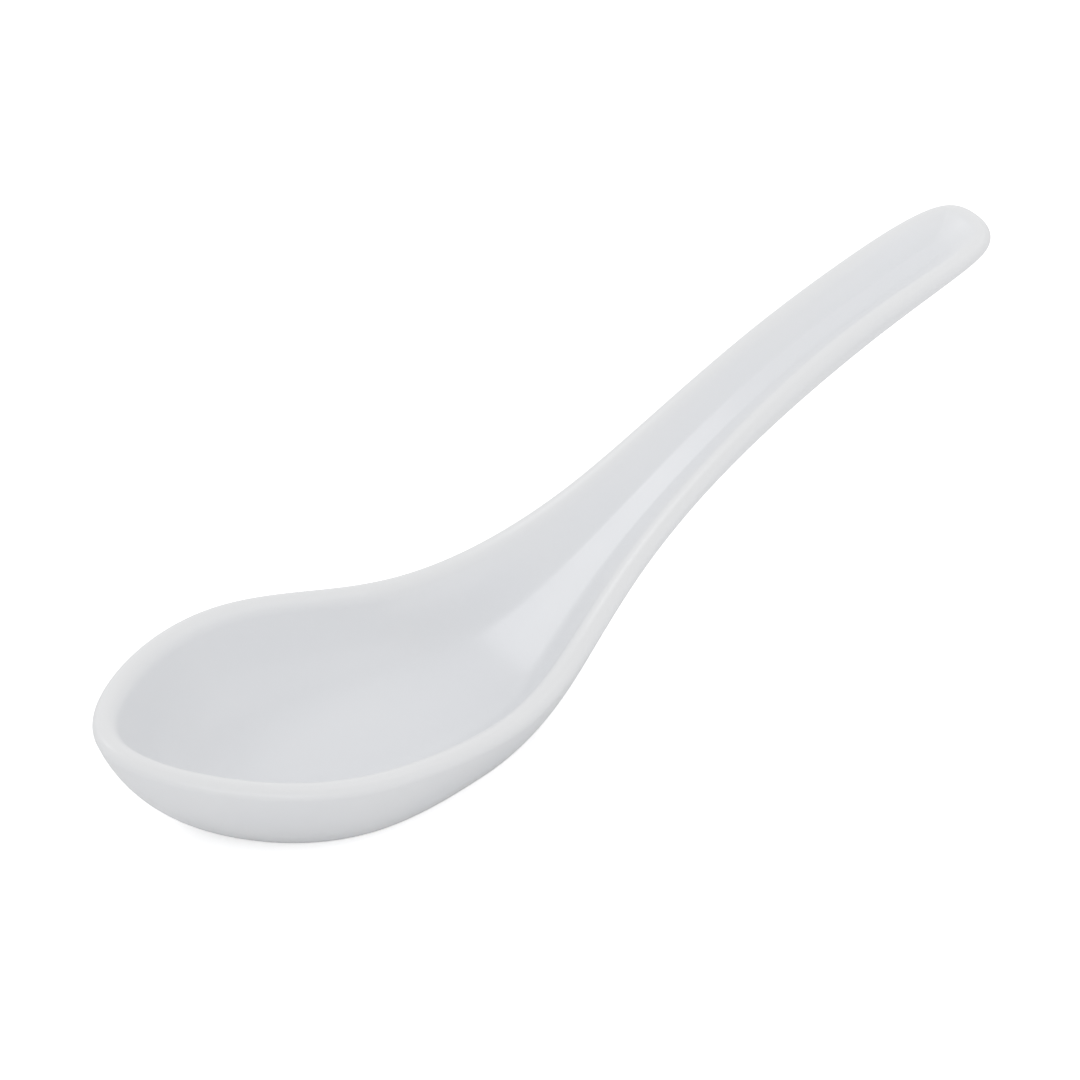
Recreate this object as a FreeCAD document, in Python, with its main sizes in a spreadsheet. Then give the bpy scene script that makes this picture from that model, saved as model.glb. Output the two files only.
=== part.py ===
import FreeCAD, Part
import math
import os
import Sketcher
from FreeCAD import Placement, Rotation, Vector

# One moulded tasting spoon of the deep soup-spoon form: a flat-based oval bowl that runs on into a
# rising handle with a shallow valley along its top, all inside one continuous full-round rim.
# Millimetres. X runs from the nose of the bowl to the tip of the handle, Y is across, Z is up.
# The flat base stands on Z = 0 with its middle at the origin. Distances called "at" are measured
# from the nose, heights called "up" from the base, and half widths called "out" from the middle.

SIZES = [
    # Whole spoon
    ("overall_length", 135.0, "nose of the bowl to tip of the handle"),
    ("base_centre_at", 33.0, "middle of the flat base, which is the origin"),
    ("lip_radius", 1.2, "outer round of the rim, from its crest to the outer wall"),
    ("roll_radius", 2.4, "softer inner round of the rim, from its crest to the inner wall"),
    ("bowl_end", 45.0, "where the bowl's wall form starts to turn into the handle's"),
    ("handle_start", 85.0, "where the handle's own wall form is reached"),
    # Plan of the rim: control points of one half, from the nose to the tip
    ("plan_nose_out", 5.2, "half width of the control point at the nose"),
    ("plan_front_at", 9.0, "rounded front of the bowl"),
    ("plan_front_out", 15.8, ""),
    ("plan_side_at", 27.0, "widest part of the bowl"),
    ("plan_side_out", 24.1, ""),
    ("plan_rear_at", 46.0, "rear of the bowl"),
    ("plan_rear_out", 20.0, ""),
    ("plan_neck_at", 60.0, "neck"),
    ("plan_neck_out", 15.5, ""),
    ("plan_root_at", 75.0, "root of the handle"),
    ("plan_root_out", 8.7, ""),
    ("plan_stem_at", 93.0, "handle, lower half"),
    ("plan_stem_out", 7.15, ""),
    ("plan_grip_at", 116.0, "handle, upper half"),
    ("plan_grip_out", 6.4, ""),
    ("plan_end_at", 131.0, "shoulder of the rounded tip"),
    ("plan_end_out", 7.0, ""),
    ("plan_tip_out", 4.3, "half width of the control point at the tip"),
    # Height of the rim, seen from the side
    ("rim_nose_up", 17.0, "rim height at the nose"),
    ("rim_front_at", 14.0, "front of the bowl"),
    ("rim_front_up", 14.4, ""),
    ("rim_side_at", 32.0, "side of the bowl"),
    ("rim_side_up", 14.0, ""),
    ("rim_dip_at", 50.0, "lowest place of the rim"),
    ("rim_dip_up", 10.1, ""),
    ("rim_neck_at", 62.0, "neck"),
    ("rim_neck_up", 12.7, ""),
    ("rim_root_at", 75.0, "root of the handle"),
    ("rim_root_up", 21.1, ""),
    ("rim_stem_at", 95.0, "handle, lower half"),
    ("rim_stem_up", 34.6, ""),
    ("rim_grip_at", 116.0, "handle, upper half"),
    ("rim_grip_up", 44.0, ""),
    ("rim_tip_up", 47.9, "rim height at the tip"),
    # Underside along the middle
    ("blank_foot", -0.4, "lowest level of the blank, below the base, before it is faced off"),
    ("keel_start_at", 50.0, "rear part of the flat base"),
    ("keel_heel_at", 60.0, "heel, where the underside leaves the base"),
    ("keel_rise_at", 66.0, "rise behind the bowl"),
    ("keel_rise_up", 6.4, ""),
    ("keel_root_at", 75.0, "under the root of the handle"),
    ("keel_root_up", 15.8, ""),
    ("keel_stem_at", 92.0, "under the handle, lower half"),
    ("keel_stem_up", 26.8, ""),
    ("keel_grip_at", 112.0, "under the handle, upper half"),
    ("keel_grip_up", 35.3, ""),
    ("keel_tip_at", 131.0, "under the tip"),
    ("keel_tip_up", 43.6, ""),
    # Floor of the bowl and valley of the handle along the middle
    ("floor_up", 3.6, "thickness of the bowl's floor over the base"),
    ("floor_rear_at", 44.0, "rear part of the level floor"),
    ("floor_heel_at", 55.0, "where the floor starts to climb"),
    ("floor_rise_at", 64.0, "climb into the handle"),
    ("floor_rise_up", 8.6, ""),
    ("floor_root_at", 76.0, "valley at the root of the handle"),
    ("floor_root_up", 18.8, ""),
    ("floor_stem_at", 94.0, "valley in the handle, lower half"),
    ("floor_stem_up", 31.4, ""),
    ("floor_grip_at", 112.0, "valley in the handle, upper half"),
    ("floor_grip_up", 40.1, ""),
    ("floor_end_at", 129.0, "end of the valley"),
    ("floor_end_up", 45.6, ""),
    # Outline of the base and keel, drawn in from the rim's plan
    ("nose_gap_run", 85.0, "length over which the gaps at the nose die out"),
    ("tip_gap_run", 30.0, "length over which the gaps at the tip die out"),
    ("base_nose_gap", 15.2, "from the nose of the rim back to the nose of the base"),
    ("base_share", 0.66, "width of the base to width of the bowl"),
    ("keel_share", 0.25, "width of the keel to width of the handle"),
    ("keel_tip_gap", 4.0, "from the tip of the rim back to the end of the keel"),
    # Outline of the floor and valley, drawn in from the rim's plan
    ("floor_nose_gap", 20.0, "from the nose of the rim back to the nose of the floor"),
    ("floor_share", 0.34, "width of the level floor to width of the bowl"),
    ("valley_share", 0.2, "width of the valley's bottom to width of the handle"),
    ("valley_tip_gap", 7.0, "from the tip of the rim back to the end of the valley"),
    # Shape of the walls between those outlines and the rim
    ("bowl_lean", 5.4, "how far the bowl's outer wall draws in on its way down"),
    ("handle_lean", 1.4, "the same on the handle"),
    ("bowl_fullness", 0.5, "how boldly the bowl's outer wall swells: 0 is straight, 1 is boxy"),
    ("handle_fullness", 0.61, "the same on the handle"),
    ("bowl_reach", 0.33, "how far the bowl's inner wall runs in before it turns level, as a share"),
    ("handle_reach", 0.78, "the same on the handle, where it makes the soft valley"),
    ("hollow_fullness", 0.6, "how boldly the inner wall swells"),
]

STATIONS = 28          # places along one half of the rim that carry a section
HALVINGS = 50          # steps of the search for a place on a line
SEW_TOLERANCE = 0.001


def make_sheet(doc):
    """Driving dimensions, one row each: name, value, meaning."""
    sheet = doc.addObject("Spreadsheet::Sheet", "sizes")
    for row, (name, value, meaning) in enumerate(SIZES, start=1):
        sheet.set(f"A{row}", name)
        sheet.set(f"B{row}", str(value))
        sheet.set(f"C{row}", meaning)
        sheet.setAlias(f"B{row}", name)
    doc.recompute()
    return sheet


def from_nose(item):
    """Set the item so that its own x = 0 is the nose of the spoon."""
    item.setExpression("Placement.Base.x", "-sizes.base_centre_at")


def spline_sketch(doc, name, turn, points):
    """Sketch of one B-spline whose control points are dimensioned from the sheet.

    points holds (along, out) pairs: each is a cell's name, or None for zero.
    """
    sheet = doc.getObject("sizes")
    sketch = doc.addObject("Sketcher::SketchObject", name)
    sketch.Placement = Placement(Vector(0, 0, 0), turn)
    from_nose(sketch)
    places = []
    for along, out in points:
        x = sheet.get(along) if along else 0.0
        y = sheet.get(out) if out else 0.0
        places.append(Vector(x, y, 0))
    for place in places:
        sketch.addGeometry(Part.Circle(place, Vector(0, 0, 1), 1.0), True)
    curve = Part.BSplineCurve(places, None, None, False, 3, None, False)
    spline = sketch.addGeometry(curve, False)
    sketch.addConstraint(Sketcher.Constraint("Weight", 0, 1.0))
    for index in range(1, len(places)):
        sketch.addConstraint(Sketcher.Constraint("Equal", 0, index))
    for index, (along, out) in enumerate(points):
        role = "InternalAlignment:Sketcher::BSplineControlPoint"
        sketch.addConstraint(Sketcher.Constraint(role, index, 3, spline, index))
        place = places[index]
        for axis, cell, value in (("DistanceX", along, place.x), ("DistanceY", out, place.y)):
            number = sketch.addConstraint(Sketcher.Constraint(axis, -1, 1, index, 3, value))
            if cell:
                sketch.setExpression(f"Constraints[{number}]", f"sizes.{cell}")
    return sketch


def spline_of(sketch):
    """The B-spline that a sketch holds, in the sketch's own plane."""
    return next(item for item in sketch.Geometry if isinstance(item, Part.BSplineCurve))


def parameter_at(curve, along):
    """Parameter at which a curve that always advances in x reaches the given x."""
    low = curve.FirstParameter
    high = curve.LastParameter
    for _ in range(HALVINGS):
        middle = (low + high) / 2
        if curve.value(middle).x < along:
            low = middle
        else:
            high = middle
    return (low + high) / 2


def height_and_slope(curve, along):
    """Height and slope of a side line at a distance from the nose."""
    parameter = parameter_at(curve, along)
    tangent = curve.tangent(parameter)[0]
    return curve.value(parameter).y, tangent.y / tangent.x


def ease(value, start, end):
    """Smooth step from 0 at start to 1 at end, level at both."""
    share = min(max((value - start) / (end - start), 0.0), 1.0)
    return share ** 3 * (share * (6 * share - 15) + 10)


def drawn_in(along, size, nose_gap, tip_gap):
    """Distance from the nose of a point on an inner outline that follows the rim at both ends."""
    to_tip = size["overall_length"] - along
    near_nose = max(1 - along / size["nose_gap_run"], 0.0) ** 3
    near_tip = max(1 - to_tip / size["tip_gap_run"], 0.0) ** 3
    return along + size[nose_gap] * near_nose - size[tip_gap] * near_tip


def tangent_angle(across, down, radius, side):
    """Angle on the lip's circle where the line from a point outside the circle touches it."""
    direction = math.atan2(-down, across)
    if side < 0 and direction < 0:
        direction += 2 * math.pi
    return direction + side * math.acos(radius / math.hypot(across, down))


def wall_row(foot, pull, bend, top, fullness):
    """Control points of a wall that leaves the foot towards pull and meets the lip from bend."""
    return [foot, foot + (pull - foot) * fullness, top + (bend - top) * fullness, top]


def arc_row(centre, outward, radius, start, end):
    """Control points of an arc of the lip in the upright plane that holds outward."""
    handle = radius * 4 / 3 * math.tan((end - start) / 4)
    points = []
    for angle, sign in ((start, 1), (end, -1)):
        radial = outward * math.cos(angle) + Vector(0, 0, math.sin(angle))
        along = outward * -math.sin(angle) + Vector(0, 0, math.cos(angle))
        on_arc = centre + radial * radius
        points.append((on_arc, on_arc + along * (sign * handle)))
    return [points[0][0], points[0][1], points[1][1], points[1][0]]


def section(along, plan, rim, keel, floor, size):
    """Control points of the four bands of one section, from the base over the rim to the floor."""
    radius = size["lip_radius"]
    roll = size["roll_radius"]
    parameter = parameter_at(plan, along)
    edge = plan.value(parameter)
    travel = plan.tangent(parameter)[0]
    outward = Vector(-travel.y, travel.x, 0)
    crown = Vector(edge.x, edge.y, height_and_slope(rim, along)[0])
    centre = crown - Vector(0, 0, radius) - outward * radius
    towards_handle = ease(along, size["bowl_end"], size["handle_start"])

    def between(bowl, handle):
        return size[bowl] + (size[handle] - size[bowl]) * towards_handle

    foot_along = drawn_in(along, size, "base_nose_gap", "keel_tip_gap")
    height, slope = height_and_slope(keel, foot_along)
    foot = Vector(foot_along, edge.y * between("base_share", "keel_share"), height)
    corner = centre + outward * (radius - between("bowl_lean", "handle_lean"))
    corner.z = height + slope * (corner.x - foot_along)
    across = (corner - centre).dot(outward)
    start = tangent_angle(across, centre.z - corner.z, radius, 1)

    level_along = drawn_in(along, size, "floor_nose_gap", "valley_tip_gap")
    height, slope = height_and_slope(floor, level_along)
    level = Vector(level_along, edge.y * between("floor_share", "valley_share"), height)
    span = math.hypot(centre.x - level.x, centre.y - level.y)
    reach = radius + between("bowl_reach", "handle_reach") * (span - radius)
    turn = centre - outward * reach
    pull = centre + (level - centre) * (reach / span)
    for point in (turn, pull):
        point.z = height + slope * (point.x - level_along)
    roll_centre = crown - outward * radius - Vector(0, 0, roll)
    end = tangent_angle(-reach, roll_centre.z - turn.z, roll, -1)

    lip_out = arc_row(centre, outward, radius, start, math.pi / 2)
    lip_in = arc_row(roll_centre, outward, roll, math.pi / 2, end)
    outer = wall_row(foot, corner, corner, lip_out[0], between("bowl_fullness", "handle_fullness"))
    inner = wall_row(level, pull, turn, lip_in[-1], size["hollow_fullness"])
    return [outer, lip_out, lip_in, inner[::-1]]


def mirrored(point):
    """The point's twin on the other side of the spoon."""
    return Vector(point.x, -point.y, point.z)


def closed_row(half):
    """Smooth closed curve through one half's points and their twins on the other side."""
    loop = half + [mirrored(point) for point in half[-2:0:-1]]
    curve = Part.BSplineCurve()
    curve.interpolate(Points=loop, PeriodicFlag=True, Parameters=list(range(len(loop) + 1)))
    return curve


def band_surfaces(sections, band):
    """The two surfaces, left and right, of one band that runs round the whole spoon."""
    rows = [closed_row([item[band][row] for item in sections]) for row in range(4)]
    poles = [list(column) for column in zip(*[row.getPoles() for row in rows])]
    multiplicities = rows[0].getMultiplicities()
    knots = rows[0].getKnots()
    halves = []
    for start, end in ((knots[0], knots[STATIONS]), (knots[STATIONS], knots[-1])):
        surface = Part.BSplineSurface()
        surface.buildFromPolesMultsKnots(
            poles, multiplicities, [4, 4], knots, [0.0, 1.0], True, False, 3, 3)
        surface.segment(start, end, 0.0, 1.0)
        halves.append(surface)
    return halves


def cap_face(left, right, side):
    """Face ruled straight across between the two halves of an outline."""
    near = left.vIso(side)
    far = right.vIso(side)
    far.reverse()
    return Part.makeRuledSurface(near.toShape(), far.toShape())


def blank_shape(sheet, lines):
    """Solid of the whole spoon from its four guide lines, with the base not yet faced off."""
    size = {name: sheet.get(name) for name, _, _ in SIZES}
    sections = []
    for station in range(STATIONS + 1):
        share = (1 - math.cos(math.pi * station / STATIONS)) / 2
        sections.append(section(size["overall_length"] * share, *lines, size))
    bands = [band_surfaces(sections, band) for band in range(4)]
    faces = [surface.toShape() for pair in bands for surface in pair]
    faces.append(cap_face(*bands[0], 0.0))
    faces.append(cap_face(*bands[-1], 1.0))
    skin = Part.makeCompound(faces)
    skin.sewShape(SEW_TOLERANCE)
    solid = Part.makeSolid(skin.Shells[0])
    if solid.Volume < 0:
        solid.reverse()
    return solid


def make_sketches(doc):
    """Guide lines: the rim in plan, then the rim, the underside and the floor from the side."""
    flat = Rotation()
    upright = Rotation(Vector(1, 0, 0), 90)
    plan = spline_sketch(doc, "rim_plan", flat, [
        (None, None), (None, "plan_nose_out"), ("plan_front_at", "plan_front_out"),
        ("plan_side_at", "plan_side_out"), ("plan_rear_at", "plan_rear_out"),
        ("plan_neck_at", "plan_neck_out"), ("plan_root_at", "plan_root_out"),
        ("plan_stem_at", "plan_stem_out"), ("plan_grip_at", "plan_grip_out"),
        ("plan_end_at", "plan_end_out"), ("overall_length", "plan_tip_out"),
        ("overall_length", None)])
    rim = spline_sketch(doc, "rim_side", upright, [
        (None, "rim_nose_up"), ("rim_front_at", "rim_front_up"), ("rim_side_at", "rim_side_up"),
        ("rim_dip_at", "rim_dip_up"), ("rim_neck_at", "rim_neck_up"),
        ("rim_root_at", "rim_root_up"), ("rim_stem_at", "rim_stem_up"),
        ("rim_grip_at", "rim_grip_up"), ("overall_length", "rim_tip_up")])
    keel = spline_sketch(doc, "keel_side", upright, [
        (None, "blank_foot"), ("keel_start_at", "blank_foot"), ("keel_heel_at", "blank_foot"),
        ("keel_rise_at", "keel_rise_up"), ("keel_root_at", "keel_root_up"),
        ("keel_stem_at", "keel_stem_up"), ("keel_grip_at", "keel_grip_up"),
        ("keel_tip_at", "keel_tip_up")])
    floor = spline_sketch(doc, "floor_side", upright, [
        (None, "floor_up"), ("floor_rear_at", "floor_up"), ("floor_heel_at", "floor_up"),
        ("floor_rise_at", "floor_rise_up"), ("floor_root_at", "floor_root_up"),
        ("floor_stem_at", "floor_stem_up"), ("floor_grip_at", "floor_grip_up"),
        ("floor_end_at", "floor_end_up")])
    return plan, rim, keel, floor


def make_spoon(doc, sheet):
    """The blank, faced off by a block so that it stands on a true flat base."""
    sketches = make_sketches(doc)
    doc.recompute()
    blank = doc.addObject("Part::Feature", "blank")
    blank.Shape = blank_shape(sheet, [spline_of(sketch) for sketch in sketches])
    from_nose(blank)
    facing = doc.addObject("Part::Box", "facing_block")
    facing.setExpression("Length", "sizes.overall_length")
    facing.setExpression("Width", "sizes.overall_length")
    facing.setExpression("Height", "sizes.overall_length / 4")
    from_nose(facing)
    facing.setExpression("Placement.Base.y", "-sizes.overall_length / 2")
    facing.setExpression("Placement.Base.z", "-sizes.overall_length / 4")
    spoon = doc.addObject("Part::Cut", "spoon")
    spoon.Base = blank
    spoon.Tool = facing
    spoon.Label = "spoon"
    return spoon


def check(doc, parts):
    """Stop if any object failed or any sub-part isn't one valid solid."""
    for item in doc.Objects:
        if "Invalid" in item.State or "Error" in item.State:
            raise RuntimeError(f"{item.Name} failed: {item.State}")
    for item in parts:
        if item.Shape.isNull() or not item.Shape.isValid():
            raise RuntimeError(f"{item.Label} has no valid shape")
        if len(item.Shape.Solids) != 1:
            raise RuntimeError(f"{item.Label} isn't one solid")


def main():
    """Build the document, check it and write each sub-part."""
    doc = FreeCAD.newDocument("tasting_spoon")
    sheet = make_sheet(doc)
    parts = [make_spoon(doc, sheet)]
    doc.recompute()
    check(doc, parts)
    os.makedirs("parts", exist_ok=True)
    for item in parts:
        item.Shape.exportStep(f"parts/{item.Label}.step")
        box = item.Shape.BoundBox
        print(f"{item.Label}: volume {item.Shape.Volume:.0f}, box "
              f"{box.XLength:.2f} x {box.YLength:.2f} x {box.ZLength:.2f}")


main()
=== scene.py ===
"""White tasting spoon on a pale floor, dressed around its CAD frame.

The spoon is one glazed shell. A Geometry Nodes tree draws it by the same rule as the CAD model:
sections between a rim, an underside and a floor line, set out station by station round the rim.
"""

from __future__ import annotations

import logging
import math
from dataclasses import dataclass, field
from enum import IntEnum

import bpy
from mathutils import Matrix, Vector

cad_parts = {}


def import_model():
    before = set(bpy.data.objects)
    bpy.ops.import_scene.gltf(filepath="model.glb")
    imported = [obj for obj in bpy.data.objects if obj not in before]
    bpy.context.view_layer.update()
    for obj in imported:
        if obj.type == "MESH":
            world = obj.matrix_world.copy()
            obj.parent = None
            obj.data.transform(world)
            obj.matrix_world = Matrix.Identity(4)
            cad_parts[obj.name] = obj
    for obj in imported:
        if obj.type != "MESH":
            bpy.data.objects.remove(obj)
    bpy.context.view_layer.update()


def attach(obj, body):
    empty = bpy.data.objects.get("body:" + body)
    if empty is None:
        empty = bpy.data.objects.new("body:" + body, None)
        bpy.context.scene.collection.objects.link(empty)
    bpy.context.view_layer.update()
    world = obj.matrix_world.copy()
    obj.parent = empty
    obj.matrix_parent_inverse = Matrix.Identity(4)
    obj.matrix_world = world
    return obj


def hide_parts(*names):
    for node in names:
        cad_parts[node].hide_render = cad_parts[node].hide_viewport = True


LOG = logging.getLogger("tasting_spoon")
MM = 0.001


class Band(IntEnum):
    """Stretches of a section, in order from the middle of the underside to that of the floor."""

    UNDERSIDE = 0
    OUTER_WALL = 1
    LIP_OUT = 2
    LIP_IN = 3
    INNER_WALL = 4
    FLOOR = 5


class GuideLine:
    """A clamped cubic B-spline that always advances in x, in millimetres from the nose."""

    DEGREE = 3
    HALVINGS = 44
    STEP = 1e-5

    def __init__(self, poles: list[tuple[float, float]]) -> None:
        """Set up the line.

        Args:
            poles: Control points as (distance from the nose, width or height).
        """
        self.poles = poles
        spans = len(poles) - self.DEGREE
        inner = [index / spans for index in range(1, spans)]
        self.knots = [0.0] * (self.DEGREE + 1) + inner + [1.0] * (self.DEGREE + 1)

    def point(self, parameter: float) -> tuple[float, float]:
        """Point of the line at a parameter.

        Args:
            parameter: Place on the line, from 0 to 1.

        Returns:
            Distance from the nose and the width or height there.
        """
        last = len(self.poles) - 1
        span = self.DEGREE
        while span < last and self.knots[span + 1] <= parameter:
            span += 1
        points = [self.poles[span - self.DEGREE + index] for index in range(self.DEGREE + 1)]
        for level in range(1, self.DEGREE + 1):
            for index in range(self.DEGREE, level - 1, -1):
                low = self.knots[span - self.DEGREE + index]
                high = self.knots[span + 1 + index - level]
                share = (parameter - low) / (high - low)
                before, after = points[index - 1], points[index]
                points[index] = (
                    before[0] + (after[0] - before[0]) * share,
                    before[1] + (after[1] - before[1]) * share,
                )
        return points[-1]

    def parameter_at(self, along: float) -> float:
        """Parameter at which the line reaches a distance from the nose.

        Args:
            along: Distance from the nose.

        Returns:
            The parameter, from 0 to 1.
        """
        low, high = 0.0, 1.0
        for _ in range(self.HALVINGS):
            middle = (low + high) / 2
            if self.point(middle)[0] < along:
                low = middle
            else:
                high = middle
        return (low + high) / 2

    def direction(self, parameter: float) -> tuple[float, float]:
        """Unit direction of the line at a parameter.

        Args:
            parameter: Place on the line, from 0 to 1.

        Returns:
            The direction's two components.
        """
        start = self.point(max(parameter - self.STEP, 0.0))
        end = self.point(min(parameter + self.STEP, 1.0))
        across, up = end[0] - start[0], end[1] - start[1]
        length = math.hypot(across, up)
        return across / length, up / length

    def height_and_slope(self, along: float) -> tuple[float, float]:
        """Height and slope of a side line at a distance from the nose.

        Args:
            along: Distance from the nose.

        Returns:
            The height, and the slope as rise over run.
        """
        parameter = self.parameter_at(along)
        run, rise = self.direction(parameter)
        return self.point(parameter)[1], rise / run


class Field:
    """A number or vector socket of a node tree, with ordinary arithmetic."""

    def __init__(self, tree: bpy.types.NodeTree, socket: bpy.types.NodeSocket) -> None:
        """Wrap an output socket of the tree."""
        self.tree = tree
        self.socket = socket

    @property
    def is_vector(self) -> bool:
        """True if the field carries vectors."""
        return self.socket.type == "VECTOR"

    def _feed(self, target: bpy.types.NodeSocket, value: "Field | float | Vector") -> None:
        """Link a field into an input socket, or set the socket to a plain value.

        Args:
            target: The input socket.
            value: The field or plain value.
        """
        if isinstance(value, Field):
            self.tree.links.new(value.socket, target)
        else:
            target.default_value = value

    def number(self, operation: str, *others: "Field | float") -> "Field":
        """Result of a Math node that starts with this field.

        Args:
            operation: Name of the Math operation.
            others: The further inputs.

        Returns:
            The result as a field.
        """
        node = self.tree.nodes.new("ShaderNodeMath")
        node.operation = operation
        for target, value in zip(node.inputs, (self, *others)):
            self._feed(target, value)
        return Field(self.tree, node.outputs["Value"])

    def vector(self, operation: str, other: "Field | Vector | float") -> "Field":
        """Result of a Vector Math node that starts with this field.

        Args:
            operation: Name of the Vector Math operation.
            other: The second input, which is the factor for SCALE.

        Returns:
            The result as a field.
        """
        node = self.tree.nodes.new("ShaderNodeVectorMath")
        node.operation = operation
        self._feed(node.inputs[0], self)
        self._feed(node.inputs["Scale"] if operation == "SCALE" else node.inputs[1], other)
        return Field(self.tree, node.outputs["Value" if operation == "LENGTH" else "Vector"])

    def __add__(self, other: "Field | float") -> "Field":
        """Sum of two fields."""
        return self.vector("ADD", other) if self.is_vector else self.number("ADD", other)

    def __sub__(self, other: "Field | float") -> "Field":
        """Difference of two fields."""
        return self.vector("SUBTRACT", other) if self.is_vector else self.number("SUBTRACT", other)

    def __mul__(self, other: "Field | float") -> "Field":
        """Product with a number field."""
        return self.vector("SCALE", other) if self.is_vector else self.number("MULTIPLY", other)

    def __truediv__(self, other: "Field | float") -> "Field":
        """Quotient of two number fields."""
        return self.number("DIVIDE", other)

    def towards(self, other: "Field", share: "Field | float") -> "Field":
        """Point or value part of the way to another."""
        return self + (other - self) * share

    def part(self, axis: str) -> "Field":
        """One component of a vector field.

        Args:
            axis: X, Y or Z.

        Returns:
            The component as a number field.
        """
        node = self.tree.nodes.new("ShaderNodeSeparateXYZ")
        self.tree.links.new(self.socket, node.inputs[0])
        return Field(self.tree, node.outputs[axis])


class TreeMaker:
    """Builds a Geometry Nodes tree with named inputs."""

    def __init__(self, name: str) -> None:
        """Start a tree that takes and gives one geometry.

        Args:
            name: The tree's name.
        """
        self.tree = bpy.data.node_groups.new(name, "GeometryNodeTree")
        for way in ("INPUT", "OUTPUT"):
            self.tree.interface.new_socket("Geometry", in_out=way, socket_type="NodeSocketGeometry")
        self.entry = self.tree.nodes.new("NodeGroupInput")
        self.exit = self.tree.nodes.new("NodeGroupOutput")

    def input(self, name: str, kind: str) -> Field:
        """Add a named input to the tree.

        Args:
            name: The input's name.
            kind: The part of its socket type after NodeSocket, such as Float.

        Returns:
            The input as a field.
        """
        self.tree.interface.new_socket(name, in_out="INPUT", socket_type=f"NodeSocket{kind}")
        return Field(self.tree, self.entry.outputs[name])

    def node(self, kind: str, inputs: dict, **settings: object) -> bpy.types.Node:
        """Add a node.

        Args:
            kind: The node's type name.
            inputs: Fields, sockets or plain values by input name.
            settings: Properties of the node itself.

        Returns:
            The new node.
        """
        made = self.tree.nodes.new(kind)
        for key, value in settings.items():
            setattr(made, key, value)
        for key, value in inputs.items():
            if isinstance(value, Field):
                self.tree.links.new(value.socket, made.inputs[key])
            elif isinstance(value, bpy.types.NodeSocket):
                self.tree.links.new(value, made.inputs[key])
            else:
                made.inputs[key].default_value = value
        return made

    def field(self, kind: str, output: str, inputs: dict, **settings: object) -> Field:
        """Add a node and take one of its outputs as a field."""
        return Field(self.tree, self.node(kind, inputs, **settings).outputs[output])

    def combine(self, across: Field, side: Field | float, up: Field) -> Field:
        """Vector field from its three components."""
        return self.field("ShaderNodeCombineXYZ", "Vector", {"X": across, "Y": side, "Z": up})

    def choose(self, index: Field, options: list[Field]) -> Field:
        """Vector field picked from several by a whole number.

        Args:
            index: Place of the option, from 0.
            options: The vector fields to pick from.

        Returns:
            The picked field.
        """
        node = self.tree.nodes.new("GeometryNodeIndexSwitch")
        node.data_type = "VECTOR"
        while len(node.index_switch_items) < len(options):
            node.index_switch_items.new()
        self.tree.links.new(index.socket, node.inputs["Index"])
        for place, option in enumerate(options):
            self.tree.links.new(option.socket, node.inputs[str(place)])
        return Field(self.tree, node.outputs["Output"])

    def identifiers(self) -> dict[str, str]:
        """Look up the named inputs' sockets.

        Returns:
            Socket identifier of each named input, by name.
        """
        return {
            item.name: item.identifier
            for item in self.tree.interface.items_tree
            if item.item_type == "SOCKET" and item.in_out == "INPUT"
        }


def nodes_to_mesh(piece: bpy.types.Object) -> None:
    """Turn the result of a piece's modifiers into its plain mesh and remove them.

    Args:
        piece: The object that carries the modifiers.
    """
    graph = bpy.context.evaluated_depsgraph_get()
    made = bpy.data.meshes.new_from_object(piece.evaluated_get(graph), depsgraph=graph)
    made.name = piece.name
    piece.modifiers.clear()
    piece.data = made


def add_group_sockets(
    group: bpy.types.NodeTree, inputs: dict[str, float], outputs: list[str]
) -> None:
    """Give a shader group its number inputs, with defaults, and its number outputs.

    Args:
        group: The group.
        inputs: Default value of each input, by name.
        outputs: Names of the outputs.
    """
    for name, value in inputs.items():
        socket = group.interface.new_socket(name, in_out="INPUT", socket_type="NodeSocketFloat")
        socket.default_value = value
    for name in outputs:
        group.interface.new_socket(name, in_out="OUTPUT", socket_type="NodeSocketFloat")


def set_range(
    node: bpy.types.ShaderNode, low: float, high: float, start: float, end: float
) -> None:
    """Set the two ranges of a Map Range node.

    Args:
        node: The node.
        low: Start of the range it reads.
        high: End of the range it reads.
        start: Value that it gives at low.
        end: Value that it gives at high.
    """
    names = ("From Min", "From Max", "To Min", "To Max")
    for name, value in zip(names, (low, high, start, end)):
        node.inputs[name].default_value = value


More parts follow.
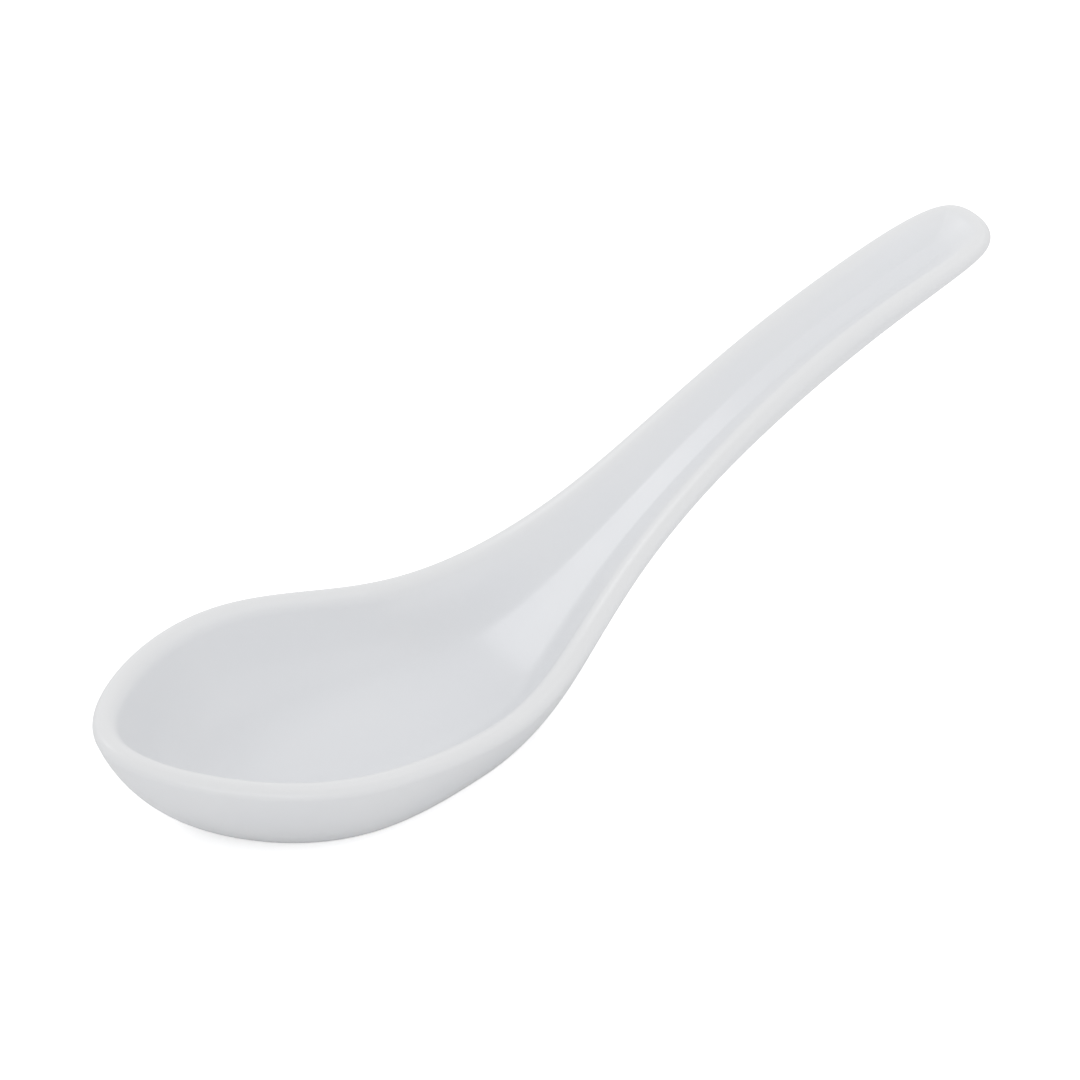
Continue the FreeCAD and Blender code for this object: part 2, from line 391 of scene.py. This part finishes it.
@dataclass(frozen=True)
class CastSkin:
    """Surface of a cast body: long soft waves, a fine grain and sparse pinholes."""

    wave_detail: float = 2.0
    grain_detail: float = 4.0
    pinhole_edge: float = 0.11
    pinhole_core: float = 0.05
    pinhole_rarity: float = 0.93

    def group(self) -> bpy.types.NodeTree:
        """Build the shader group.

        Returns:
            The group. Its outputs are Tone, Height and Pinholes, all from 0 to 1.
        """
        group = bpy.data.node_groups.new("cast_skin", "ShaderNodeTree")
        defaults = {
            "Wave Scale": 60.0,
            "Grain Scale": 1500.0,
            "Grain Share": 0.2,
            "Pinhole Scale": 300.0,
        }
        add_group_sockets(group, defaults, ["Tone", "Height", "Pinholes"])
        nodes, links = group.nodes, group.links
        entry = nodes.new("NodeGroupInput")
        leave = nodes.new("NodeGroupOutput")
        place = nodes.new("ShaderNodeTexCoord")

        def noise(scale: str, detail: float) -> bpy.types.NodeSocket:
            """Noise over Object coordinates.

            Args:
                scale: Name of the group's input that sets its scale.
                detail: Number of finer layers in it.

            Returns:
                The noise, from 0 to 1.
            """
            made = nodes.new("ShaderNodeTexNoise")
            made.inputs["Detail"].default_value = detail
            links.new(place.outputs["Object"], made.inputs["Vector"])
            links.new(entry.outputs[scale], made.inputs["Scale"])
            return made.outputs["Fac"]

        waves = noise("Wave Scale", self.wave_detail)
        grain = noise("Grain Scale", self.grain_detail)
        height = nodes.new("ShaderNodeMix")
        links.new(entry.outputs["Grain Share"], height.inputs["Factor"])
        links.new(waves, height.inputs["A"])
        links.new(grain, height.inputs["B"])
        cells = nodes.new("ShaderNodeTexVoronoi")
        links.new(place.outputs["Object"], cells.inputs["Vector"])
        links.new(entry.outputs["Pinhole Scale"], cells.inputs["Scale"])
        inside = nodes.new("ShaderNodeMapRange")
        set_range(inside, self.pinhole_edge, self.pinhole_core, 0.0, 1.0)
        links.new(cells.outputs["Distance"], inside.inputs["Value"])
        sparse = Field(group, cells.outputs["Color"]).number("GREATER_THAN", self.pinhole_rarity)
        pinholes = Field(group, inside.outputs["Result"]) * sparse
        links.new(waves, leave.inputs["Tone"])
        links.new(height.outputs["Result"], leave.inputs["Height"])
        links.new(pinholes.socket, leave.inputs["Pinholes"])
        return group


@dataclass(frozen=True)
class WhiteGlaze:
    """Clear glaze over a fired white body, with a dry unglazed foot."""

    body: tuple[float, float, float] = (0.775, 0.785, 0.802)
    pooled: tuple[float, float, float] = (0.748, 0.762, 0.79)
    thin_edge: tuple[float, float, float] = (0.776, 0.782, 0.792)
    dry_foot: tuple[float, float, float] = (0.74, 0.72, 0.68)
    gloss: float = 0.29
    dull: float = 0.34
    dry: float = 0.72
    wave_height_mm: float = 0.01
    foot_top_mm: float = 0.10
    foot_bottom_mm: float = 0.03
    refraction: float = 1.5
    coat: float = 0.2
    coat_roughness: float = 0.12
    wave_scale: float = 75.0
    grain_scale: float = 2600.0
    grain_share: float = 0.006
    pinhole_scale: float = 210.0
    pinhole_depth: float = 0.3
    cloud_tones: tuple[float, float] = (0.35, 0.65)
    gloss_tones: tuple[float, float] = (0.3, 0.7)
    cloud_strength: float = 0.5
    pooling: float = 0.6

    def material(self, skin: bpy.types.NodeTree) -> bpy.types.Material:
        """Build the material.

        Args:
            skin: The cast-skin shader group.

        Returns:
            The glaze as a material.
        """
        made = bpy.data.materials.new("white_glaze")
        made.use_nodes = True
        nodes, links = made.node_tree.nodes, made.node_tree.links
        shader = nodes["Principled BSDF"]
        shader.inputs["IOR"].default_value = self.refraction
        shader.inputs["Coat Weight"].default_value = self.coat
        shader.inputs["Coat Roughness"].default_value = self.coat_roughness
        surface = nodes.new("ShaderNodeGroup")
        surface.node_tree = skin
        surface.inputs["Wave Scale"].default_value = self.wave_scale
        surface.inputs["Grain Scale"].default_value = self.grain_scale
        surface.inputs["Grain Share"].default_value = self.grain_share
        surface.inputs["Pinhole Scale"].default_value = self.pinhole_scale

        def mix(share: bpy.types.NodeSocket, before: object, after: object) -> bpy.types.NodeSocket:
            """Blend two colours.

            Args:
                share: How far the result lies towards the second colour, from 0 to 1.
                before: The first colour, as numbers or as a socket.
                after: The second colour, likewise.

            Returns:
                The blended colour.
            """
            blend = nodes.new("ShaderNodeMix")
            blend.data_type = "RGBA"
            links.new(share, blend.inputs["Factor"])
            for name, value in (("A", before), ("B", after)):
                target = next(s for s in blend.inputs if s.name == name and s.type == "RGBA")
                if isinstance(value, bpy.types.NodeSocket):
                    links.new(value, target)
                else:
                    target.default_value = (*value, 1.0)
            return next(s for s in blend.outputs if s.type == "RGBA")

        def ranged(
            value: bpy.types.NodeSocket, low: float, high: float, start: float, end: float
        ) -> bpy.types.NodeSocket:
            """Map a value from one range to another, held at its ends.

            Args:
                value: The value.
                low: Start of the range it is read from.
                high: End of that range.
                start: Result at low.
                end: Result at high.

            Returns:
                The mapped value.
            """
            span = nodes.new("ShaderNodeMapRange")
            links.new(value, span.inputs["Value"])
            set_range(span, low, high, start, end)
            return span.outputs["Result"]

        def attribute(name: str) -> bpy.types.NodeSocket:
            """Share stored on the mesh by the shell's tree.

            Args:
                name: The attribute's name.

            Returns:
                The share, from 0 to 1.
            """
            read = nodes.new("ShaderNodeAttribute")
            read.attribute_name = name
            return read.outputs["Fac"]

        place = nodes.new("ShaderNodeTexCoord")
        axes = nodes.new("ShaderNodeSeparateXYZ")
        links.new(place.outputs["Object"], axes.inputs["Vector"])
        foot = ranged(axes.outputs["Z"], self.foot_top_mm * MM, self.foot_bottom_mm * MM, 0.0, 1.0)
        clouds = ranged(surface.outputs["Tone"], *self.cloud_tones, 0.0, self.cloud_strength)
        colour = mix(clouds, self.body, self.pooled)
        pools = ranged(attribute("hollow"), 0.0, 1.0, 0.0, self.pooling)
        colour = mix(pools, colour, self.pooled)
        colour = mix(attribute("lip"), colour, self.thin_edge)
        colour = mix(foot, colour, self.dry_foot)
        links.new(colour, shader.inputs["Base Color"])
        glossy = ranged(surface.outputs["Tone"], *self.gloss_tones, self.gloss, self.dull)
        rough = nodes.new("ShaderNodeMix")
        links.new(foot, rough.inputs["Factor"])
        links.new(glossy, rough.inputs["A"])
        rough.inputs["B"].default_value = self.dry
        links.new(rough.outputs["Result"], shader.inputs["Roughness"])
        holes = ranged(surface.outputs["Pinholes"], 0.0, 1.0, 0.0, self.pinhole_depth)
        relief = Field(made.node_tree, surface.outputs["Height"]) - Field(made.node_tree, holes)
        bump = nodes.new("ShaderNodeBump")
        bump.inputs["Distance"].default_value = self.wave_height_mm * MM
        links.new(relief.socket, bump.inputs["Height"])
        links.new(bump.outputs["Normal"], shader.inputs["Normal"])
        return made


@dataclass
class SpoonShell:
    """The one-piece spoon: its guide lines and section sizes, in millimetres from the nose."""

    length: float = 135.0
    base_centre: float = 33.0
    lip_radius: float = 1.2
    roll_radius: float = 2.4
    bowl_end: float = 45.0
    handle_start: float = 85.0
    plan: list[tuple[float, float]] = field(default_factory=lambda: [
        (0, 0), (0, 5.2), (9, 15.8), (27, 24.1), (46, 20.0), (60, 15.5), (75, 8.7), (93, 7.15),
        (116, 6.4), (131, 7.0), (135, 4.3), (135, 0)])
    rim: list[tuple[float, float]] = field(default_factory=lambda: [
        (0, 17.0), (14, 14.4), (32, 14.0), (50, 10.1), (62, 12.7), (75, 21.1), (95, 34.6),
        (116, 44.0), (135, 47.9)])
    keel: list[tuple[float, float]] = field(default_factory=lambda: [
        (0, -0.4), (50, -0.4), (60, -0.4), (66, 6.4), (75, 15.8), (92, 26.8), (112, 35.3),
        (131, 43.6)])
    floor: list[tuple[float, float]] = field(default_factory=lambda: [
        (0, 3.6), (44, 3.6), (55, 3.6), (64, 8.6), (76, 18.8), (94, 31.4), (111, 39.6),
        (121, 42.3), (129, 45.1)])
    nose_gap_run: float = 85.0
    tip_gap_run: float = 30.0
    base_nose_gap: float = 15.2
    keel_tip_gap: float = 4.0
    base_share: float = 0.66
    keel_share: float = 0.25
    floor_nose_gap: float = 20.0
    valley_tip_gap: float = 7.0
    floor_share: float = 0.34
    valley_share: float = 0.2
    bowl_lean: float = 5.4
    handle_lean: float = 1.4
    bowl_fullness: float = 0.5
    handle_fullness: float = 0.61
    bowl_reach: float = 0.33
    handle_reach: float = 0.78
    hollow_fullness: float = 0.6
    base_softness: float = 0.35
    lip_tint_reach: float = 1.25
    seam: float = 0.001
    stations: int = 360
    rows: int = 14

    def towards_handle(self, along: float) -> float:
        """Share of the handle's form in a section.

        Args:
            along: The section's distance from the nose.

        Returns:
            The share, which rises smoothly from 0 in the bowl to 1 in the handle.
        """
        share = (along - self.bowl_end) / (self.handle_start - self.bowl_end)
        share = min(max(share, 0.0), 1.0)
        return share ** 3 * (share * (6 * share - 15) + 10)

    def drawn_in(self, along: float, nose_gap: float, tip_gap: float) -> float:
        """Distance from the nose of an inner outline's point that follows the rim at both ends.

        Args:
            along: Distance of the rim's point from the nose.
            nose_gap: How far the outline stays back from the nose.
            tip_gap: How far it stays back from the tip.

        Returns:
            The inner point's distance from the nose.
        """
        near_nose = max(1 - along / self.nose_gap_run, 0.0) ** 3
        near_tip = max(1 - (self.length - along) / self.tip_gap_run, 0.0) ** 3
        return along + nose_gap * near_nose - tip_gap * near_tip

    def spine(self) -> bpy.types.Mesh:
        """Loose points round the rim that carry the guide lines' values.

        Returns:
            A mesh of one point per station with the values that the tree reads.
        """
        guides = (self.plan, self.rim, self.keel, self.floor)
        plan, rim, keel, floor = (GuideLine(line) for line in guides)
        half = self.stations // 2
        rows: dict[str, list] = {"edge": [], "outward": [], "foot": [], "level": []}
        slopes: dict[str, list] = {"keel_slope": [], "floor_slope": [], "handle_share": []}
        for station in range(half + 1):
            along = self.length * (1 - math.cos(math.pi * station / half)) / 2
            parameter = plan.parameter_at(along)
            run, spread = plan.direction(parameter)
            width = plan.point(parameter)[1]
            share = self.towards_handle(along)
            base = self.base_share + (self.keel_share - self.base_share) * share
            level = self.floor_share + (self.valley_share - self.floor_share) * share
            foot_at = self.drawn_in(along, self.base_nose_gap, self.keel_tip_gap)
            level_at = self.drawn_in(along, self.floor_nose_gap, self.valley_tip_gap)
            foot_up, foot_slope = keel.height_and_slope(foot_at)
            level_up, level_slope = floor.height_and_slope(level_at)
            rim_up = rim.height_and_slope(along)[0]
            rows["outward"].append(Vector((-spread, run, 0)))
            for name, place, side, up in (
                ("edge", along, width, rim_up),
                ("foot", foot_at, width * base, foot_up),
                ("level", level_at, width * level, level_up),
            ):
                rows[name].append(Vector((place - self.base_centre, side, up)) * MM)
            slopes["keel_slope"].append(foot_slope)
            slopes["floor_slope"].append(level_slope)
            slopes["handle_share"].append(share)
        for ends in (0, half):
            rows["outward"][ends] = Vector((-1.0 if ends == 0 else 1.0, 0, 0))
            for name in ("edge", "foot", "level"):
                rows[name][ends].y = 0.0
        mesh = bpy.data.meshes.new("spine")
        mirror = Vector((1, -1, 1))
        for name, near in rows.items():
            rows[name] = near + [value * mirror for value in near[-2:0:-1]]
        mesh.from_pydata(rows["edge"], [], [])
        for name, values in rows.items():
            layer = mesh.attributes.new(name, "FLOAT_VECTOR", "POINT")
            layer.data.foreach_set("vector", [number for value in values for number in value])
        for name, near in slopes.items():
            layer = mesh.attributes.new(name, "FLOAT", "POINT")
            layer.data.foreach_set("value", near + near[-2:0:-1])
        return mesh

    def section_rule(self, maker: TreeMaker, sampled: dict[str, Field]) -> dict[Band, list[Field]]:
        """Control points of each band's curve, drawn by the section rule.

        Args:
            maker: The tree under construction.
            sampled: The spine's values for each point of the grid.

        Returns:
            Four control points for each band.
        """
        radius = maker.input("Lip Radius", "Float")
        roll = maker.input("Roll Radius", "Float")

        def between(bowl: str, handle: str) -> Field:
            """Size that passes from the bowl's value to the handle's."""
            low, high = maker.input(bowl, "Float"), maker.input(handle, "Float")
            return low.towards(high, sampled["handle_share"])

        def on_plane(point: Field, through: Field, slope: Field) -> Field:
            """Point moved upright onto the sloping plane through another."""
            up = through.part("Z") + (point.part("X") - through.part("X")) * slope
            return maker.combine(point.part("X"), point.part("Y"), up)

        outward, foot, level = sampled["outward"], sampled["foot"], sampled["level"]
        none = radius * 0.0
        crown = sampled["edge"] - outward * radius
        centre = crown - maker.combine(none, none, radius)
        roll_centre = crown - maker.combine(none, none, roll)

        def on_circle(middle: Field, size: Field, angle: Field) -> tuple[Field, Field]:
            """Point of a rounding.

            Args:
                middle: The rounding's centre.
                size: Its radius.
                angle: The point's angle above the outward direction.

            Returns:
                The point, and the direction along the circle there.
            """
            cosine, sine = angle.number("COSINE"), angle.number("SINE")
            radial = outward * cosine + maker.combine(none, none, sine)
            return middle + radial * size, maker.combine(none, none, cosine) - outward * sine

        def arc(middle: Field, size: Field, start: Field, end: Field) -> list[Field]:
            """Control points of an arc of a rounding.

            Args:
                middle: The rounding's centre.
                size: Its radius.
                start: Angle at which the arc starts.
                end: Angle at which it ends.

            Returns:
                The four control points.
            """
            handle = size * ((end - start) / 4.0).number("TANGENT") * (4 / 3)
            first, first_way = on_circle(middle, size, start)
            last, last_way = on_circle(middle, size, end)
            return [first, first + first_way * handle, last - last_way * handle, last]

        def touch(size: Field, across: Field, down: Field) -> tuple[Field, Field]:
            """Direction to a point outside a rounding, and the angle that a tangent turns it."""
            distance = (across * across + down * down).number("SQRT")
            return (down * -1.0).number("ARCTAN2", across), (size / distance).number("ARCCOSINE")

        lean = between("Bowl Lean", "Handle Lean")
        corner = on_plane(centre + outward * (radius - lean), foot, sampled["keel_slope"])
        direction, turned = touch(radius, radius - lean, centre.part("Z") - corner.part("Z"))
        start = direction + turned
        flat = (centre - level).vector("MULTIPLY", Vector((1, 1, 0)))
        span = flat.vector("LENGTH", Vector())
        reach = radius + (span - radius) * between("Bowl Reach", "Handle Reach")
        turn = on_plane(centre - outward * reach, level, sampled["floor_slope"])
        pull = on_plane(centre.towards(level, reach / span), level, sampled["floor_slope"])
        direction, turned = touch(roll, reach * -1.0, roll_centre.part("Z") - turn.part("Z"))
        end = direction.number("FLOORED_MODULO", math.tau) - turned
        crest = none + math.pi / 2
        lip_out, lip_in = arc(centre, radius, start, crest), arc(roll_centre, roll, crest, end)
        fullness = between("Bowl Fullness", "Handle Fullness")
        hollow = maker.input("Hollow Fullness", "Float")

        def wall(low: Field, pull: Field, bend: Field, top: Field, swell: Field) -> list[Field]:
            """Control points of a wall that leaves low towards pull and meets top from bend."""
            return [low, low.towards(pull, swell), top.towards(bend, swell), top]

        def to_middle(point: Field) -> list[Field]:
            """Control points of a level line from a point to the spoon's middle plane."""
            middle = point.vector("MULTIPLY", Vector((1, 0, 1)))
            return [point, point.towards(middle, 1 / 3), point.towards(middle, 2 / 3), middle]

        return {
            Band.UNDERSIDE: to_middle(foot)[::-1],
            Band.OUTER_WALL: wall(foot, corner, corner, lip_out[0], fullness),
            Band.LIP_OUT: lip_out,
            Band.LIP_IN: lip_in,
            Band.INNER_WALL: wall(level, pull, turn, lip_in[-1], hollow)[::-1],
            Band.FLOOR: to_middle(level),
        }

    def tree(self) -> TreeMaker:
        """Geometry Nodes tree that draws the shell round the spine.

        Returns:
            The finished tree.
        """
        maker = TreeMaker("spoon_shell")
        stations = maker.input("Stations", "Int")
        rows = maker.input("Rows In Band", "Int")
        bands = float(len(Band))
        columns = stations + 1.0
        height = rows * bands + 1.0
        grid = maker.node("GeometryNodeMeshGrid", {"Vertices X": columns, "Vertices Y": height})
        index = maker.field("GeometryNodeInputIndex", "Index", {})
        column = (index / height).number("FLOOR")
        station = column.number("MODULO", stations)
        row = index - column * height
        band = (row / rows).number("FLOOR").number("MINIMUM", bands - 1.0)
        share = (row - band * rows) / rows

        def sample(name: str, kind: str) -> Field:
            """Read one of the spine's values at the grid point's station.

            Args:
                name: The attribute's name.
                kind: Its data type.

            Returns:
                The value as a field.
            """
            stored = maker.field(
                "GeometryNodeInputNamedAttribute", "Attribute", {"Name": name}, data_type=kind
            )
            spine = maker.entry.outputs["Geometry"]
            inputs = {"Geometry": spine, "Value": stored, "Index": station}
            return maker.field(
                "GeometryNodeSampleIndex", "Value", inputs, data_type=kind, domain="POINT"
            )

        places = ("edge", "outward", "foot", "level")
        sampled = {name: sample(name, "FLOAT_VECTOR") for name in places}
        for name in ("keel_slope", "floor_slope", "handle_share"):
            sampled[name] = sample(name, "FLOAT")
        bands_of = self.section_rule(maker, sampled)
        points = [
            maker.choose(band, [bands_of[name][place] for name in Band]) for place in range(4)
        ]
        rest = share * -1.0 + 1.0
        weights = [
            rest * rest * rest,
            rest * rest * share * 3.0,
            rest * share * share * 3.0,
            share * share * share,
        ]
        place = points[0] * weights[0]
        for point, weight in zip(points[1:], weights[1:]):
            place = place + point * weight
        softness = maker.input("Base Softness", "Float")
        up = place.part("Z").number("SMOOTH_MAX", 0.0, softness)
        place = maker.combine(place.part("X"), place.part("Y"), up)
        shaped = maker.node(
            "GeometryNodeSetPosition", {"Geometry": grid.outputs["Mesh"], "Position": place}
        )
        geometry = shaped.outputs["Geometry"]
        passed = row / rows
        lip = (passed - float(Band.LIP_IN)).number("ABSOLUTE") * -1.0 + self.lip_tint_reach
        hollow = passed - float(Band.INNER_WALL)
        for name, value in (("lip", lip), ("hollow", hollow)):
            held = value.number("MAXIMUM", 0.0).number("MINIMUM", 1.0)
            inputs = {"Geometry": geometry, "Name": name, "Value": held}
            stored = maker.node(
                "GeometryNodeStoreNamedAttribute", inputs, data_type="FLOAT", domain="POINT"
            )
            geometry = stored.outputs["Geometry"]
        merged = maker.node(
            "GeometryNodeMergeByDistance", {"Geometry": geometry, "Distance": self.seam * MM}
        )
        outside = maker.node("GeometryNodeFlipFaces", {"Mesh": merged.outputs["Geometry"]})
        smooth = maker.node("GeometryNodeSetShadeSmooth", {"Geometry": outside.outputs["Mesh"]})
        real = maker.node("GeometryNodeRealizeInstances", {"Geometry": smooth.outputs["Geometry"]})
        material = maker.input("Material", "Material")
        last = maker.node(
            "GeometryNodeSetMaterial", {"Geometry": real.outputs["Geometry"], "Material": material}
        )
        maker.tree.links.new(last.outputs["Geometry"], maker.exit.inputs["Geometry"])
        return maker

    def build(self, material: bpy.types.Material) -> bpy.types.Object:
        """Make the spoon and hang it on the CAD frame.

        Args:
            material: The spoon's finish.

        Returns:
            The finished piece.
        """
        piece = bpy.data.objects.new("spoon_shell", self.spine())
        bpy.context.scene.collection.objects.link(piece)
        maker = self.tree()
        modifier = piece.modifiers.new("shell", "NODES")
        modifier.node_group = maker.tree
        sizes = {
            "Stations": self.stations,
            "Rows In Band": self.rows,
            "Lip Radius": self.lip_radius * MM,
            "Roll Radius": self.roll_radius * MM,
            "Bowl Lean": self.bowl_lean * MM,
            "Handle Lean": self.handle_lean * MM,
            "Bowl Fullness": self.bowl_fullness,
            "Handle Fullness": self.handle_fullness,
            "Bowl Reach": self.bowl_reach,
            "Handle Reach": self.handle_reach,
            "Hollow Fullness": self.hollow_fullness,
            "Base Softness": self.base_softness * MM,
            "Material": material,
        }
        names = maker.identifiers()
        for name, value in sizes.items():
            modifier[names[name]] = value
        nodes_to_mesh(piece)
        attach(piece, "root")
        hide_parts("spoon")
        LOG.info("%s: %d faces", piece.name, len(piece.data.polygons))
        return piece


def aim(azimuth: float, elevation: float) -> Vector:
    """Unit vector towards an azimuth, counted from -Y, and an elevation.

    Args:
        azimuth: Degrees round the upright axis.
        elevation: Degrees above the floor.

    Returns:
        The vector.
    """
    turn, tilt = math.radians(azimuth), math.radians(elevation)
    level = math.cos(tilt)
    return Vector((math.sin(turn) * level, -math.cos(turn) * level, math.sin(tilt)))


@dataclass(frozen=True)
class PhotoView:
    """Camera at the photograph's angle, for a square frame."""

    azimuth: float = -33.77
    elevation: float = 35.86
    distance: float = 0.9
    target: tuple[float, float, float] = (0.032, 0.0, 0.020)
    frame_width: float = 1080.0
    focal_length: float = 6972.3
    axis_x: float = 535.75
    axis_y: float = 557.6
    sensor: float = 36.0
    nearest: float = 0.01

    def build(self) -> bpy.types.Object:
        """Make the camera and give it to the scene.

        Returns:
            The camera.
        """
        lens = bpy.data.cameras.new("photo_view")
        lens.sensor_width = self.sensor
        lens.lens = self.focal_length / self.frame_width * self.sensor
        lens.shift_x = 0.5 - self.axis_x / self.frame_width
        lens.shift_y = self.axis_y / self.frame_width - 0.5
        lens.clip_start = self.nearest
        camera = bpy.data.objects.new("photo_view", lens)
        back = aim(self.azimuth, self.elevation)
        camera.location = Vector(self.target) + back * self.distance
        camera.rotation_euler = (-back).to_track_quat("-Z", "Y").to_euler()
        bpy.context.scene.collection.objects.link(camera)
        bpy.context.scene.camera = camera
        return camera


@dataclass(frozen=True)
class Softbox:
    """One soft area lamp, aimed at the spoon. Without lights_matt it shows only in the gloss."""

    name: str
    azimuth: float
    elevation: float
    distance: float
    width: float
    height: float
    power: float
    lights_matt: bool = True

    def build(self, target: Vector) -> bpy.types.Object:
        """Make the lamp.

        Args:
            target: The point it shines on.

        Returns:
            The lamp.
        """
        light = bpy.data.lights.new(self.name, "AREA")
        light.shape = "RECTANGLE"
        light.size = self.width
        light.size_y = self.height
        light.energy = self.power
        lamp = bpy.data.objects.new(self.name, light)
        lamp.visible_diffuse = self.lights_matt
        lamp.visible_camera = False
        back = aim(self.azimuth, self.elevation)
        lamp.location = target + back * self.distance
        lamp.rotation_euler = (-back).to_track_quat("-Z", "Y").to_euler()
        bpy.context.scene.collection.objects.link(lamp)
        return lamp


@dataclass
class Studio:
    """Pale floor, white surroundings, soft lamps and the camera."""

    floor_half_side: float = 3.0
    floor_colour: tuple[float, float, float] = (0.87, 0.87, 0.87)
    surroundings: float = 0.86
    zenith: float = 0.9
    roof_start: float = 0.68
    roof_end: float = 0.9
    floor_roughness: float = 0.9
    floor_specular: float = 0.1
    floor_lift: float = 0.5
    target: tuple[float, float, float] = (0.03, 0.0, 0.02)
    lamps: list[Softbox] = field(default_factory=lambda: [
        Softbox("key", 74.0, 60.0, 0.34, 0.25, 0.25, 0.095),
        Softbox("back", 172.0, 34.0, 1.0, 1.6, 1.3, 0.7),
        Softbox("side", -150.0, 38.0, 1.0, 0.3, 0.3, 0.5),
        Softbox("glint", -150.0, 38.0, 1.0, 0.3, 0.3, 0.36, lights_matt=False),
        Softbox("fill", -34.0, 12.0, 1.1, 0.9, 0.5, 1.05),
    ])

    def floor_material(self) -> bpy.types.Material:
        """Matt pale floor, lifted to white for the camera and clear from below.

        Returns:
            The floor's material.
        """
        made = bpy.data.materials.new("pale_floor")
        made.use_nodes = True
        nodes, links = made.node_tree.nodes, made.node_tree.links
        shader = nodes["Principled BSDF"]
        shader.inputs["Base Color"].default_value = (*self.floor_colour, 1.0)
        shader.inputs["Roughness"].default_value = self.floor_roughness
        shader.inputs["Specular IOR Level"].default_value = self.floor_specular
        glow = nodes.new("ShaderNodeEmission")
        glow.inputs["Strength"].default_value = self.floor_lift
        both = nodes.new("ShaderNodeAddShader")
        links.new(shader.outputs["BSDF"], both.inputs[0])
        links.new(glow.outputs["Emission"], both.inputs[1])
        rays = nodes.new("ShaderNodeLightPath")
        seen = nodes.new("ShaderNodeMixShader")
        links.new(rays.outputs["Is Camera Ray"], seen.inputs["Fac"])
        links.new(shader.outputs["BSDF"], seen.inputs[1])
        links.new(both.outputs["Shader"], seen.inputs[2])
        clear = nodes.new("ShaderNodeBsdfTransparent")
        below = Field(made.node_tree, nodes.new("ShaderNodeNewGeometry").outputs["Backfacing"])
        under = below * Field(made.node_tree, rays.outputs["Is Camera Ray"])
        whole = nodes.new("ShaderNodeMixShader")
        links.new(under.socket, whole.inputs["Fac"])
        links.new(seen.outputs["Shader"], whole.inputs[1])
        links.new(clear.outputs["BSDF"], whole.inputs[2])
        links.new(whole.outputs["Shader"], nodes["Material Output"].inputs["Surface"])
        return made

    def build_floor(self) -> bpy.types.Object:
        """Make the floor.

        Returns:
            The floor.
        """
        side = self.floor_half_side
        mesh = bpy.data.meshes.new("studio_floor")
        points = [(-side, -side, 0), (side, -side, 0), (side, side, 0), (-side, side, 0)]
        mesh.from_pydata(points, [], [(0, 1, 2, 3)])
        mesh.materials.append(self.floor_material())
        floor = bpy.data.objects.new("studio_floor", mesh)
        bpy.context.scene.collection.objects.link(floor)
        return floor

    def build_world(self) -> None:
        """Make the surroundings: white to the camera, and dimmer overhead for all other rays."""
        world = bpy.data.worlds.new("surroundings")
        bpy.context.scene.world = world
        world.use_nodes = True
        nodes, links = world.node_tree.nodes, world.node_tree.links
        sky = nodes["Background"]
        sky.inputs["Color"].default_value = (1.0, 1.0, 1.0, 1.0)
        rays = nodes.new("ShaderNodeLightPath")
        way = nodes.new("ShaderNodeTexCoord")
        axes = nodes.new("ShaderNodeSeparateXYZ")
        links.new(way.outputs["Generated"], axes.inputs["Vector"])
        roof = nodes.new("ShaderNodeMapRange")
        roof.interpolation_type = "SMOOTHSTEP"
        links.new(axes.outputs["Z"], roof.inputs["Value"])
        set_range(roof, self.roof_start, self.roof_end, 1.0, self.zenith)
        light = nodes.new("ShaderNodeMix")
        light.inputs["A"].default_value = self.surroundings
        light.inputs["B"].default_value = 1.0
        links.new(rays.outputs["Is Glossy Ray"], light.inputs["Factor"])
        tree = world.node_tree
        tent = Field(tree, light.outputs["Result"]) * Field(tree, roof.outputs["Result"])
        through = Field(tree, rays.outputs["Is Transmission Ray"])
        direct = Field(tree, rays.outputs["Is Camera Ray"]).number("MAXIMUM", through)
        strength = nodes.new("ShaderNodeMix")
        links.new(direct.socket, strength.inputs["Factor"])
        links.new(tent.socket, strength.inputs["A"])
        strength.inputs["B"].default_value = 1.0
        links.new(strength.outputs["Result"], sky.inputs["Strength"])

    def build(self) -> None:
        """Make the floor, the surroundings, the lamps and the camera."""
        bpy.context.scene.view_settings.view_transform = "Standard"
        self.build_floor()
        self.build_world()
        for lamp in self.lamps:
            lamp.build(Vector(self.target))
        PhotoView().build()
        LOG.info("studio: %d lamps", len(self.lamps))


def main() -> None:
    """Load the frame, build the spoon and the studio."""
    logging.basicConfig(level=logging.INFO, format="%(name)s %(message)s")
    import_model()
    glaze = WhiteGlaze().material(CastSkin().group())
    SpoonShell().build(glaze)
    Studio().build()


if __name__ == "__main__":
    main()
